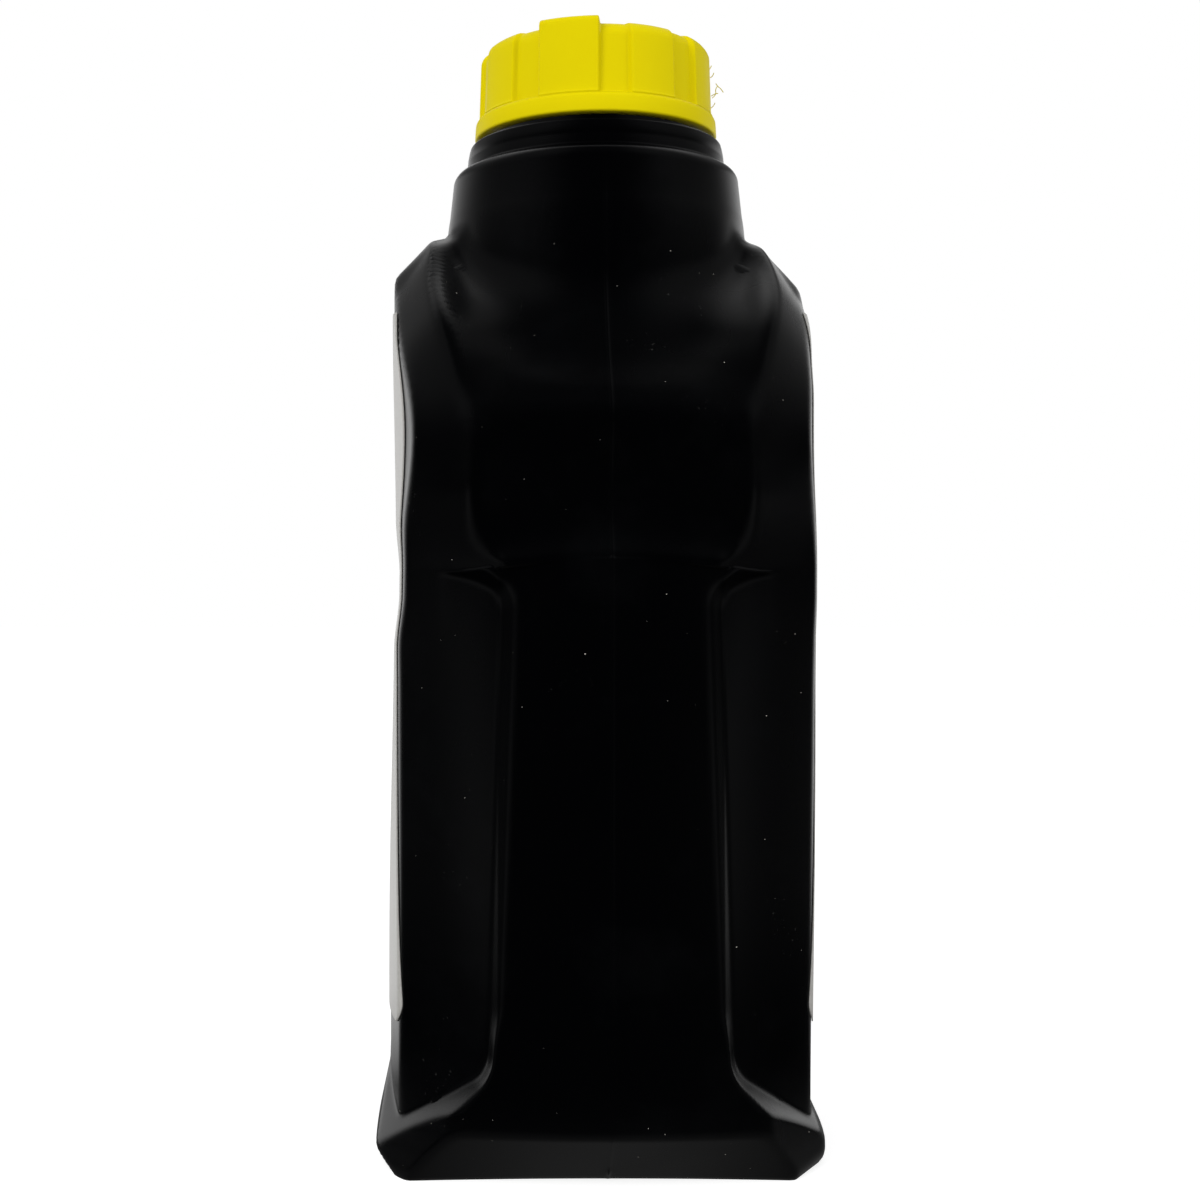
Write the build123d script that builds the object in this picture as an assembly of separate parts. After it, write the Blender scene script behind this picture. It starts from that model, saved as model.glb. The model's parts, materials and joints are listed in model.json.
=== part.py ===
from build123d import *
import os
from math import cos, radians, sin, tan

# A one litre oil bottle: a hollow black blow-moulded body with a grip waist and a conical tower,
# a ribbed yellow screw cap with a sealing disc, and a film label on each wide side.
# The frame: origin at the middle of the base, +Z up, narrow sides towards -Y and +Y.

# Body
half_width = 41.9
half_depth = 49.0
wall = 1.4
floor_wall = 1.8
shelf_height = 115.4
shoulder_rise = 65.6
wing_setback = 15.8
wing_bulge = 1.6
edge_inset = 2.9
waist_inset = 1.5

# Raised spine, crescents and shelf on each narrow side
spine_step = 1.9
spine_crown = 1.4
spine_half_width = 19.1
spine_foot_half_width = 21.4
spine_foot_height = 22.7
crescent_drop = 17.4
crescent_tip_half_width = 35.0
crescent_tip_thickness = 1.2
shelf_drop = 2.8

# Grip scoop and shoulder
grip_depth = 3.4
grip_rise = 13.6
grip_half_width = 25.1
brow_rise = 25.1

# Plinth and base
plinth_proud = 2.3
plinth_height = 4.7
plinth_ledge_height = 9.2
plinth_half_face = 27.5
base_chamfer_height = 10.8
base_chamfer_depth = 9.8
base_recess_depth = 2.2
base_recess_half_width = 27.0
base_recess_half_depth = 26.0
base_recess_corner = 12.0

# Tower, collar and neck
tower_foot_rise = 34.6
tower_foot_radius = 31.6
tower_radius = 29.2
tower_rise = 79.8
tower_round = 2.4
collar_foot_radius = 26.3
collar_radius = 25.8
collar_rise = 5.4
neck_radius = 19.8
neck_wall = 1.8
neck_height = 16.6
lip_round = 0.6

# Cap and its sealing disc
cap_gap = 1.6
flange_radius = 24.8
flange_height = 4.1
flange_bevel = 0.7
pad_radius = 23.9
pad_thickness = 1.0
cap_wall = 1.5
cap_top_wall = 1.9
cap_edge_round = 3.0
marker_angle = -16.6
marker_sweep = 31.0
marker_rise = 0.7
marker_round = 1.2
marker_wall = 2.6
plain_pads = 8
recess_sweep = 14.0
liner_thickness = 1.4
liner_clearance = 0.4

# Labels
label_thickness = 0.25
label_glue = 0.1
label_bottom = 27.0
label_top_rise = 48.6
label_half_depth = 31.5
label_top_half_depth = 20.0
label_straight_rise = 24.6
label_corner = 5.0

# An inset moves a corner of 135 degrees this share of it sideways
mitre = tan(radians(22.5))
tower_foot_height = shelf_height + tower_foot_rise
tower_height = shelf_height + tower_rise
collar_height = tower_height + collar_rise
neck_top = collar_height + neck_height
cap_bottom = collar_height + cap_gap
cap_top = neck_top + liner_thickness + cap_top_wall
flange_top = cap_bottom + flange_height
recess_radius = pad_radius - pad_thickness
cap_bore = recess_radius - cap_wall
beyond = 5.0


def ring(z, front, crease, edge, side, inset):
    # One level section: crowned or hollow front and back, four wings, two bowed wide sides.
    # The hollow's wings are flat.
    crease_x = crease[0] - mitre * inset
    crease_y = crease[1] - inset
    edge_x = edge[0] - inset
    edge_y = edge[1] - mitre * inset
    run = Vector(edge_x - crease_x, crease_y - edge_y)
    mid_x = (crease_x + edge_x) / 2 + wing_bulge * run.Y / run.length
    mid_y = (crease_y + edge_y) / 2 + wing_bulge * run.X / run.length
    if inset > 0:
        wing = Line((crease_x, crease_y), (edge_x, edge_y))
    else:
        wing = ThreePointArc((crease_x, crease_y), (mid_x, mid_y), (edge_x, edge_y))
    half = [wing, mirror(wing, about=Plane.YZ),
            ThreePointArc((crease_x, crease_y), (0, front - inset), (-crease_x, crease_y))]
    bowed = ThreePointArc((edge_x, -edge_y), (side - inset, 0), (edge_x, edge_y))
    outline = half + [mirror(edge_line, about=Plane.XZ) for edge_line in half]
    outline = outline + [bowed, mirror(bowed, about=Plane.YZ)]
    return Pos(0, 0, z) * make_face(outline)


def waist_core(bottom, inset):
    # The lower body at the level of the recessed wings, with a slight waist under the grip
    face = half_depth - spine_step
    edge_x = half_width - edge_inset
    edge_y = half_depth - wing_setback
    crease_x = spine_half_width + 1.4
    crease_y = face - spine_crown
    waist = half_width - waist_inset
    return loft([
        ring(bottom, face - 1.8, (crease_x, crease_y - 2.0), (edge_x, edge_y - 2.6), half_width, inset),
        ring(shelf_height, face - 0.2, (crease_x, crease_y - 0.4), (edge_x, edge_y + 2.4), waist, inset),
    ], ruled=True)


def raised_outline():
    # Square on to a narrow side: the plinth's slopes, the spine's sides, the crescents and the shelf
    outer = half_width + beyond
    slope_start = (half_width - edge_inset, plinth_ledge_height)
    spine_foot = (spine_foot_half_width, spine_foot_height)
    spine_head = (spine_half_width, shelf_height - crescent_drop)
    tip = (crescent_tip_half_width, shelf_height - shelf_drop)
    under_tip = (tip[0], tip[1] - crescent_tip_thickness)
    right = [
        Line((outer, -beyond), (outer, slope_start[1])),
        Line((outer, slope_start[1]), slope_start),
        Line(slope_start, spine_foot),
        Line(spine_foot, spine_head),
        TangentArc(spine_head, under_tip, tangent=(-0.03, 1)),
        Line(under_tip, tip),
    ]
    left = [mirror(edge, about=Plane.YZ) for edge in right]
    shelf = ThreePointArc(tip, (0, shelf_height), (-tip[0], tip[1]))
    foot = Line((-outer, -beyond), (outer, -beyond))
    return make_face(right + [shelf] + left + [foot])


def raised_form(bottom, inset):
    # What stands proud of the wings: the spine, its crescents and the plinth's slopes
    edge = (half_width - edge_inset - 0.3, half_depth - wing_setback - 0.6)
    crease = (plinth_half_face - 1.5, half_depth - spine_crown - 0.8)
    side = half_width - waist_inset - 0.6
    envelope = loft([
        ring(bottom, half_depth - 0.8, crease, edge, side, inset),
        ring(shelf_height + 1, half_depth, crease, edge, side, inset),
    ])
    outline = offset(raised_outline(), -inset) if inset else raised_outline()
    return envelope & extrude(Plane.XZ * outline, half_depth + beyond, both=True)


def plinth(bottom, inset):
    # The foot stands proud all round, under a ledge at 45 degrees
    side = half_width + plinth_proud
    edge = (side - 1.7, half_depth - 22.0)
    crease = (plinth_half_face, half_depth - 1.8)
    ledge_edge = (half_width - edge_inset, edge[1])
    ledge_crease = (plinth_half_face - 2.0, crease[1] - 3.0)
    return loft([
        ring(bottom, half_depth - 0.3, crease, edge, side, inset),
        ring(plinth_height, half_depth - 0.3, crease, edge, side, inset),
        ring(plinth_ledge_height - mitre * inset, half_depth - 2.5, ledge_crease, ledge_edge,
             half_width - 0.4, inset),
    ], ruled=True)


def shoulder(inset):
    # The hollowed grip above the shelf, its brow, the valleys and the two humps beside the tower.
    # Outside it starts behind the shelf's tips, and the hollow starts two walls higher.
    edge_x = half_width - edge_inset
    grip_x = grip_half_width
    side = half_width - waist_inset
    face = half_depth
    grip = face - grip_depth
    foot = shelf_height - shelf_drop + 2 * max(inset, 0)
    return loft([
        ring(foot, face - 0.6, (grip_x - 0.4, face - 2.2), (edge_x, face - 13.4), side, inset),
        ring(shelf_height + grip_rise, grip, (grip_x, face - 0.6), (edge_x - 1.9, face - 9.6),
             side + 0.2, inset),
        ring(shelf_height + brow_rise, grip + 1.7, (grip_x, face - 1.0), (edge_x - 3.0, face - 6.4),
             side + 0.4, inset),
        ring(shelf_height + shoulder_rise * 0.48, face * 0.89, (grip_x + 0.9, face * 0.935),
             (edge_x - 2.6, face * 0.79), side + 0.6, inset),
        ring(shelf_height + shoulder_rise * 0.735, face * 0.571, (grip_x + 4.8, face * 0.745),
             (edge_x - 0.6, face * 0.461), side + 0.8, inset),
        ring(shelf_height + shoulder_rise * 0.86, face * 0.408, (grip_x + 6.4, face * 0.531),
             (edge_x - 0.2, face * 0.245), side - 0.2, inset),
        ring(shelf_height + shoulder_rise * 0.93, face * 0.306, (grip_x + 4.6, face * 0.378),
             (edge_x - 3.4, face * 0.153), side - 3.9, inset),
        ring(shelf_height + shoulder_rise, face * 0.184, (grip_x - 2.0, face * 0.224),
             (edge_x - 10.0, face * 0.102), side - 10.2, inset),
    ], ruled=True)


def base_chamfers(inset):
    # The long bevel under each narrow side, as the wedge that it leaves free
    along = Vector(base_chamfer_depth, base_chamfer_height).normalized()
    start = Vector(half_depth - base_chamfer_depth, 0) + Vector(-along.Y, along.X) * inset
    low = start - along * beyond * 2
    high = start + along * (base_chamfer_height * 2 + beyond)
    wedge = make_face(Polyline((low.X, low.Y), (high.X, high.Y), (high.X, low.Y), close=True))
    bar = extrude(Plane.YZ * wedge, half_width + beyond, both=True)
    return bar + Rot(0, 0, 180) * bar


def rounded(radius, bottom, top, edge_round, foot_radius):
    # Half of an upright section whose upper edge is turned over in three short bands
    turned = []
    for angle in (0, 30, 60, 90):
        turned.append((radius - edge_round * (1 - cos(radians(angle))),
                       top - edge_round * (1 - sin(radians(angle)))))
    return make_face(Polyline((0, bottom), (foot_radius, bottom), *turned, (0, top), close=True))


def tower(inset):
    # The tall cone between the humps, with a rounded head
    turn = tower_round - inset / 2
    profile = rounded(tower_radius - inset, tower_foot_height, tower_height - inset, turn,
                      tower_foot_radius - inset)
    return revolve(Plane.XZ * profile, Axis.Z)


def neck():
    # The collar under the cap and the finish that the cap screws onto
    collar = Polyline((0, tower_height - tower_round), (collar_foot_radius, tower_height - tower_round),
                      (collar_radius, collar_height), (neck_radius, collar_height),
                      (neck_radius, neck_top - lip_round), (neck_radius - lip_round, neck_top),
                      (0, neck_top), close=True)
    return revolve(Plane.XZ * make_face(collar), Axis.Z)


def base_recess():
    # The push-up that keeps a blow-moulded base from rocking
    outline = RectangleRounded(2 * base_recess_half_width, 2 * base_recess_half_depth, base_recess_corner)
    return extrude(Pos(0, 0, -beyond) * outline, base_recess_depth + beyond)


def body_outside():
    shape = waist_core(plinth_height / 2, 0) + plinth(0, 0) + raised_form(plinth_height / 2, 0)
    shape = shape + shoulder(0) + tower(0) + neck()
    return shape - base_chamfers(0)


def body_inside():
    # The hollow follows the outside at the wall's thickness, apart from the solid base ring
    floor = base_recess_depth + floor_wall
    shape = waist_core(floor, wall) + raised_form(floor, wall) + shoulder(wall) + tower(wall)
    shape = shape - base_chamfers(wall)
    bore = Cylinder(neck_radius - neck_wall, neck_top - tower_foot_height + beyond,
                    align=(Align.CENTER, Align.CENTER, Align.MIN))
    return shape + Pos(0, 0, tower_foot_height) * bore


def make_bottle_body():
    return body_outside() - body_inside() - base_recess()


def block(inner, outer, bottom, top):
    return make_face(Polyline((inner, bottom), (outer, bottom), (outer, top), (inner, top), close=True))


def pad(profile, centre, sweep):
    # One grip pad: its profile turned about the cap's axis, centred so many degrees from -Y
    return Rot(0, 0, centre - 90 - sweep / 2) * revolve(Plane.XZ * profile, Axis.Z, sweep)


def make_screw_cap():
    shell = rounded(recess_radius, cap_bottom, cap_top, cap_edge_round, recess_radius)
    flange = make_face(Polyline((0, cap_bottom), (flange_radius, cap_bottom),
                                (flange_radius, flange_top - flange_bevel),
                                (flange_radius - flange_bevel, flange_top), (0, flange_top), close=True))
    hollow = block(-beyond, cap_bore, cap_bottom - beyond, neck_top + liner_thickness)
    cap = revolve(Plane.XZ * (shell + flange - hollow), Axis.Z)
    pad_foot = flange_top - flange_bevel - 0.5
    pad_profile = rounded(pad_radius, pad_foot, cap_top, cap_edge_round, pad_radius)
    pad_profile = pad_profile - block(-beyond, cap_bore, flange_top - beyond, cap_top + beyond)
    marker_profile = rounded(pad_radius, pad_foot, cap_top + marker_rise, marker_round, pad_radius)
    marker_inner = pad_radius - marker_wall
    marker_profile = marker_profile - block(-beyond, marker_inner, flange_top - beyond, cap_top + 2 * beyond)
    cap = cap + pad(marker_profile, marker_angle, marker_sweep)
    plain_pitch = (360 - marker_sweep - recess_sweep) / plain_pads
    plain_sweep = plain_pitch - recess_sweep
    first = marker_angle + marker_sweep / 2 + recess_sweep + plain_sweep / 2
    for index in range(plain_pads):
        cap = cap + pad(pad_profile, first + index * plain_pitch, plain_sweep)
    return cap


def make_cap_liner():
    return Pos(0, 0, neck_top) * Cylinder(cap_bore - liner_clearance, liner_thickness,
                                          align=(Align.CENTER, Align.CENTER, Align.MIN))


def label_outline():
    # A panel with rounded lower corners that draws in to a shield-like top
    straight_top = shelf_height + label_straight_rise
    label_top = shelf_height + label_top_rise
    right = [
        Line((0, label_bottom), (label_half_depth - label_corner, label_bottom)),
        RadiusArc((label_half_depth - label_corner, label_bottom),
                  (label_half_depth, label_bottom + label_corner), -label_corner),
        Line((label_half_depth, label_bottom + label_corner), (label_half_depth, straight_top)),
        TangentArc((label_half_depth, straight_top), (label_top_half_depth, label_top), tangent=(0, 1)),
        Line((label_top_half_depth, label_top), (0, label_top)),
    ]
    left = [mirror(edge, about=Plane.YZ) for edge in right]
    return make_face(right + left)


def wide_skin(proud):
    # The two wide sides at some distance outside the body
    return waist_core(plinth_ledge_height, -proud) + shoulder(-proud)


def make_label(side):
    # A thin film on one wide side, following its curve; side is 1 towards +X
    patch = extrude(Plane.YZ * label_outline(), side * (half_width + beyond))
    film = wide_skin(label_glue + label_thickness) - wide_skin(label_glue)
    return film & patch


os.makedirs("parts", exist_ok=True)
pieces = {
    "bottle_body": make_bottle_body(),
    "screw_cap": make_screw_cap(),
    "cap_liner": make_cap_liner(),
    "front_label": make_label(1),
    "back_label": make_label(-1),
}
for name, piece in pieces.items():
    piece.label = name
    export_step(piece, f"parts/{name}.step")
    print(name, round(piece.volume), piece.bounding_box())
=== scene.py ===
# Oil bottle: black blow-moulded body, yellow screw cap, sealing disc and a film label on each wide side.
import bpy
import json
import math
import numpy as np
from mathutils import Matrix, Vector

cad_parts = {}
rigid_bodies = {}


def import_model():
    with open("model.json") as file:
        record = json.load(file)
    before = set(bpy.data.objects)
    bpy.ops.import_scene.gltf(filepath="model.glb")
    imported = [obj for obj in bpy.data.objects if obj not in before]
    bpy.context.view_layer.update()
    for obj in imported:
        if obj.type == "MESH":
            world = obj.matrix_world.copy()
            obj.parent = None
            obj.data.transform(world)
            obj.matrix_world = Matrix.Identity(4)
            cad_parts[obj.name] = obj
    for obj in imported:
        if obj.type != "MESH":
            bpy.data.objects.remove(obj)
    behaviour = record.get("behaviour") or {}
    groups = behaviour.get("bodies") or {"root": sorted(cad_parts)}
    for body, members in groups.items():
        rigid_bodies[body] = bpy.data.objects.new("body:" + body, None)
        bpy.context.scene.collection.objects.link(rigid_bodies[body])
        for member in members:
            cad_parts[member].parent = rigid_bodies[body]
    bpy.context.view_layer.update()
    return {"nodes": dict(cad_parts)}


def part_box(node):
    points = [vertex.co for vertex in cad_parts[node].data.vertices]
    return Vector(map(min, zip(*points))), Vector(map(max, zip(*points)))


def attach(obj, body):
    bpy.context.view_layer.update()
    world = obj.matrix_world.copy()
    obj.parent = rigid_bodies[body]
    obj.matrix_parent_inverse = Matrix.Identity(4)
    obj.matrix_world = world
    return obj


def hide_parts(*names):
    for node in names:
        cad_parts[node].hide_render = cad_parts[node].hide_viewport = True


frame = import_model()
mm = 0.001
print("frame loaded:", sorted(frame["nodes"]))


# Helpers for outlines and meshes

def softMax(a, b, blend):
    # the larger of two distances, with the corner between them rounded
    near = np.maximum(blend - np.abs(a - b), 0)
    return np.maximum(a, b) + near * near / (4 * blend)


def softMin(a, b, blend):
    return -softMax(-a, -b, blend)


def smoothStep(low, high, value):
    t = np.clip((value - low) / (high - low), 0, 1)
    return t * t * (3 - 2 * t)


def curveThrough(points, value):
    # a smooth curve through a few (place, size) pairs, level beyond both ends
    places = np.array([p[0] for p in points], float)
    sizes = np.array([p[1] for p in points], float)
    slopes = np.gradient(sizes, places)
    slopes[0] = slopes[-1] = 0
    inside = np.clip(value, places[0], places[-1])
    index = np.clip(np.searchsorted(places, inside, side="right") - 1, 0, len(places) - 2)
    step = places[index + 1] - places[index]
    t = (inside - places[index]) / step
    start = sizes[index] * (1 + 2 * t) * (1 - t) ** 2 + slopes[index] * step * t * (1 - t) ** 2
    end = sizes[index + 1] * t * t * (3 - 2 * t) - slopes[index + 1] * step * t * t * (1 - t)
    return start + end


def spread(low, high, count, bumps):
    # count places from low to high, packed closer by weight round each (centre, half width, weight)
    fine = np.linspace(low, high, 6000)
    density = np.ones_like(fine)
    for centre, reach, weight in bumps:
        density += weight * np.exp(-((fine - centre) / reach) ** 2)
    total = np.concatenate([[0], np.cumsum((density[1:] + density[:-1]) / 2)])
    return np.interp(np.linspace(0, total[-1], count), total, fine)


def addObject(name, data):
    thing = bpy.data.objects.new(name, data)
    bpy.context.scene.collection.objects.link(thing)
    return thing


def gridMesh(name, points, caps=(), strips=()):
    # points is rows x columns x 3, in millimetres; rows run upwards and columns run anticlockwise
    rows, columns = points.shape[:2]
    verts = (points.reshape(-1, 3) * mm).tolist()
    faces = []
    for row in range(rows - 1):
        base = row * columns
        for column in range(columns):
            beside = (column + 1) % columns
            faces.append((base + column, base + beside, base + columns + beside, base + columns + column))
    if "bottom" in caps:
        verts.append(tuple(points[0].mean(axis=0) * mm))
        centre = len(verts) - 1
        faces += [(centre, (column + 1) % columns, column) for column in range(columns)]
    if "top" in caps:
        verts.append(tuple(points[-1].mean(axis=0) * mm))
        centre = len(verts) - 1
        base = (rows - 1) * columns
        faces += [(centre, base + column, base + (column + 1) % columns) for column in range(columns)]
    mesh = bpy.data.meshes.new(name)
    mesh.from_pydata(verts, [], faces + list(strips))
    mesh.shade_smooth()
    mesh.validate()
    return addObject(name, mesh)


# Bottle body

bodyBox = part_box("bottle_body")
bottle = {
    "halfDepth": bodyBox[1][1] / mm,
    "halfWidth": 41.9,
    # half the spine's width at the height of its head and a drop lower
    "spineEdge": 20.1,
    "spineFoot": 22.4,
    "spineHead": 104,
    "spineDrop": 80,
    # how steeply the bevels round the wings fall, and how steeply at their foot
    "bevelSlope": 0.85,
    "footSlope": 2.2,
    # the slanting bands: where they begin and end across, and how the first moves out higher up
    "bandInner": 25.2,
    "bandOuter": 37.4,
    "bandWiden": 0.12,
    "bandWidenFrom": 145,
    "leftHump": 1.4,
    # the shelf's height in the middle and at its ends, and how far out it reaches
    "shelf": 115.4,
    "shelfEnds": 113.1,
    "shelfReach": 27.0,
    # the rows that follow the shelf: its depth for them, and how far up and down they dip with it
    "shelfDepth": 48.5,
    "shelfRows": 9.0,
    "domeCentre": (5.0, 134.5),
    # the wings' depth at the spine, where they start, how wide they are and how much they bulge
    "wingDepth": 45.4,
    "wingStart": 20.5,
    "wingSpan": 18.5,
    "wingBulge": 1.1,
    # the crescents' top, how far they fall at the spine, and how fast they thin out
    "crescentTop": 113.0,
    "crescentFall": 6.4,
    "crescentStart": 18.5,
    "crescentReach": 5.0,
    # the wings' foot line: across, up and its distance from the base's middle
    "wingFoot": (0.604, 0.797, 31.0),
    "plinthProud": 2.25,
    "plinthTop": 4.7,
    "faceBow": 0.0036,
    # the corner between narrow and wide side as a plane: across, ahead and its distance,
    # then how much each of these changes higher up
    "corner": (0.803, 0.596, 50.2),
    "cornerTurn": (-0.164, 0.173, 1.4),
    "chamferStart": 36.7,
    "chamferTop": 10.8,
    "chamferBow": 0.0010,
    "footSide": 43.6,
    "footSideBow": 0.0024,
    # the cut foot corners as planes: across, ahead, distance and lean
    "leftCut": (0.995, 0.10, 43.3, 0.95),
    "rightCut": (0.86, 0.51, 49.1, 0.7),
    "seamHeight": 0.12,
    "seamWidth": 0.3,
    "nubHeight": 0.5,
    "nubPlace": 1.6,
    "wall": 1.4,
    "columns": 352,
    "rows": 218,
    "innerRows": 18,
    # how far out a ray looks for the skin, and how often its stretch is halved
    "farthest": 64.0,
    "halvings": 26,
    # how softly neighbouring faces meet, in millimetres
    "rounds": {"band": 1.0, "scoop": 1.4, "wide": 0.9, "wingFoot": 3.0, "crescent": 2.0, "corner": 1.6,
               "side": 0.8, "bevel": 0.35, "wing": 0.45, "cut": 0.6, "shelf": 0.3, "foot": 0.8},
    # curves by height, as (height, size) pairs
    "wideReach": [(8, 42.0), (50, 41.9), (95, 40.9), (116, 40.5), (140, 40.9), (160, 41.2)],
    "wideBow": [(8, 0.0034), (50, 0.0028), (90, 0.0017), (112, 0.0013), (139, 0.0030), (168, 0.0020)],
    "rightWaist": [(100, 0), (112, 0.4), (126, 0.9), (146, 0.9), (156, 0)],
    "leftWaist": [(98, 0), (112, 0.9), (124, 0)],
    "scoopDepth": [(115.4, 49.0), (118.4, 47.5), (122.0, 46.2), (126.0, 45.5), (130.0, 45.3),
                   (134.0, 45.9), (138.0, 47.0), (141.0, 47.5), (144.0, 46.5), (148.0, 43.2),
                   (152.0, 39.2), (160.0, 31.0), (186.0, 5.0)],
    "scoopHollow": [(116, 0.0002), (127, 0.0052), (140, 0.0012), (154, 0.0072), (166, 0.0090)],
    "creaseFoot": [(113, -3.4), (121, -0.8), (127, 0.7), (134.5, 0)],
    "edgeFoot": [(113, -1.9), (122, -1.4), (126, -0.9), (130, -0.5), (134.5, 0)],
    "rightEdge": [(112, 0.6), (150, 0.6), (172, 0)],
    "rightSlump": [(170, 0.9), (176, 0.9), (178, 1.4), (179.5, 2.1), (181, 3.2)],
    "wingOuter": [(8, 29.6), (50, 32.2), (90, 34.2), (110, 35.2)],
    "footFlare": [(0, 1.0), (5, 0.6), (10, 0.2), (14, 0)],
    "towerRadius": [(150, 32.0), (165, 31.4), (183, 30.4), (192, 29.25)],
    "raySlope": [(118, 0), (134, 0.3), (148, 0.58), (186, 0)],
    # curves by the angle round the dome's centre, as (degrees, size) pairs
    "dome": [(0, 44.2), (10, 43.4), (28, 42.5), (45, 42.9), (65, 43.2), (90, 46.3)],
    "crease": [(0, 68.4), (28, 69.8), (43, 72.6), (61, 74.8), (90, 78.4)],
    "edge": [(0, 71.4), (20, 71.7), (36, 71.6), (53, 72.2), (76, 75.0), (90, 78.4)],
    "sunken": [(52, 0.1), (70, 0.4), (90, 1)],
    "fuller": [(45, 0), (85, 1)],
}


def wideSide(q, d, z, left):
    # bowed wide side with a slight waist, drawn in over the humps; the waist sits lower on the left
    reach = curveThrough(bottle["wideReach"], z)
    reach = reach + (1 - left) * curveThrough(bottle["rightWaist"], z)
    reach = reach - left * curveThrough(bottle["leftWaist"], z)
    bow = curveThrough(bottle["wideBow"], z)
    return q - (reach - bow * d * d)


def shelfHeight(q):
    rise = bottle["shelf"] - bottle["shelfEnds"]
    return bottle["shelfEnds"] + rise * np.maximum(1 - (q / bottle["shelfReach"]) ** 2, 0) ** 1.2


def scoopFace(q, d, z):
    # the grip's hollow over the shelf, its brow, then the slope up to the tower
    lifted = z - (shelfHeight(q) - bottle["shelf"])
    depth = curveThrough(bottle["scoopDepth"], lifted)
    hollow = curveThrough(bottle["scoopHollow"], z)
    below = (bottle["shelf"] - lifted) * 0.6
    depth = np.where(lifted < bottle["shelf"], bottle["halfDepth"] + below, depth)
    return d - (depth + hollow * q * q)


def upperBody(q, d, z, left):
    # everything over the shelf: scoop, dome and the slanting bands up to the two humps
    centreD, centreZ = bottle["domeCentre"]
    ahead = np.maximum(d - centreD, 0.001)
    above = np.maximum(z - centreZ, 0.001)
    ring = np.where(z > centreZ, np.hypot(ahead, above), ahead)
    turn = np.degrees(np.arctan2(above, ahead))
    dome = ring - curveThrough(bottle["dome"], turn)
    # the band is set by its inner crease and by its outer edge
    crease = curveThrough(bottle["crease"], turn) + curveThrough(bottle["creaseFoot"], z)
    edge = curveThrough(bottle["edge"], turn) + curveThrough(bottle["edgeFoot"], z)
    edge = edge - (1 - left) * curveThrough(bottle["rightEdge"], z)
    # the left hump blew out a little fuller than the right one
    sunken = curveThrough(bottle["sunken"], turn) * curveThrough(bottle["rightSlump"], z) * (1 - left)
    fuller = curveThrough(bottle["fuller"], turn) * bottle["leftHump"] * left - sunken
    dome = dome + sunken * 0.5
    inner = bottle["bandInner"] + bottle["bandWiden"] * np.maximum(z - bottle["bandWidenFrom"], 0) ** 1.15
    share = np.clip((q - inner) / (bottle["bandOuter"] - inner), -0.4, 1.4)
    band = (q + ring - crease - (edge - crease) * share - fuller) * 0.72
    rounds = bottle["rounds"]
    shape = softMax(dome, band, rounds["band"])
    shape = softMax(shape, scoopFace(q, d, z), rounds["scoop"])
    return softMax(shape, wideSide(q, d, z, left), rounds["wide"])


def recessEdge(q, z):
    # below zero inside the recessed lower wing, seen square on to the narrow side
    widening = bottle["spineFoot"] - bottle["spineEdge"]
    spine = bottle["spineEdge"] + widening * (bottle["spineHead"] - z) / bottle["spineDrop"] - q
    across, up, away = bottle["wingFoot"]
    foot = away - (across * q + up * z)
    fall = bottle["crescentFall"] * np.exp(-(q - bottle["crescentStart"]) / bottle["crescentReach"])
    crescent = (z - (bottle["crescentTop"] - fall)) / np.sqrt(1 + (fall / bottle["crescentReach"]) ** 2)
    rounds = bottle["rounds"]
    return softMax(softMax(spine, foot, rounds["wingFoot"]), crescent, rounds["crescent"])


def lowerBody(q, d, z, left):
    # the recessed wings, with the spine, crescents and plinth standing proud of them
    rounds = bottle["rounds"]
    inner, outer = bottle["wingDepth"], curveThrough(bottle["wingOuter"], z)
    along = np.clip((q - bottle["wingStart"]) / bottle["wingSpan"], 0, 1.3)
    bulge = bottle["wingBulge"] * 4 * along * (1 - along)
    wing = (d - (inner + (outer - inner) * along + bulge)) * 0.86
    core = softMax(wing, wideSide(q, d, z, left), rounds["wide"])
    # the plinth's flank draws in over its top, in a longer and flatter slope on the left
    step = np.clip(z - bottle["plinthTop"], 0, 6.0 + 5.0 * left) * (0.45 - 0.24 * left)
    face = d - (bottle["halfDepth"] - bottle["faceBow"] * q * q)
    # the corner plane turns towards the narrow side higher up, and flares at its foot, more on the left
    high = smoothStep(45, 75, z)
    across, ahead, away = bottle["corner"]
    moreAcross, moreAhead, further = bottle["cornerTurn"]
    corner = (across + moreAcross * high) * q + (ahead + moreAhead * high) * d - away
    corner = corner - further * high + 0.2 * left * (1 - high)
    corner = corner - curveThrough(bottle["footFlare"], z) * (1 + 1.8 * left)
    side = q - (bottle["halfWidth"] + bottle["plinthProud"] - (0.0025 - 0.0019 * left) * d * d)
    side = side + step + 0.25 * np.clip(z - 30, 0, 12) * left
    proud = softMax(softMax(face, corner, rounds["corner"]), side, rounds["side"])
    slope = bottle["bevelSlope"] + (bottle["footSlope"] - bottle["bevelSlope"]) * smoothStep(34, 22, z)
    bevel = (wing - slope * recessEdge(q, z)) / np.hypot(1, slope)
    return softMin(core, softMax(proud, bevel, rounds["bevel"]), rounds["wing"])


def footCorner(plane, q, d, z):
    across, ahead, away, lean = plane
    return across * q + ahead * d - away - z * lean


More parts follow.
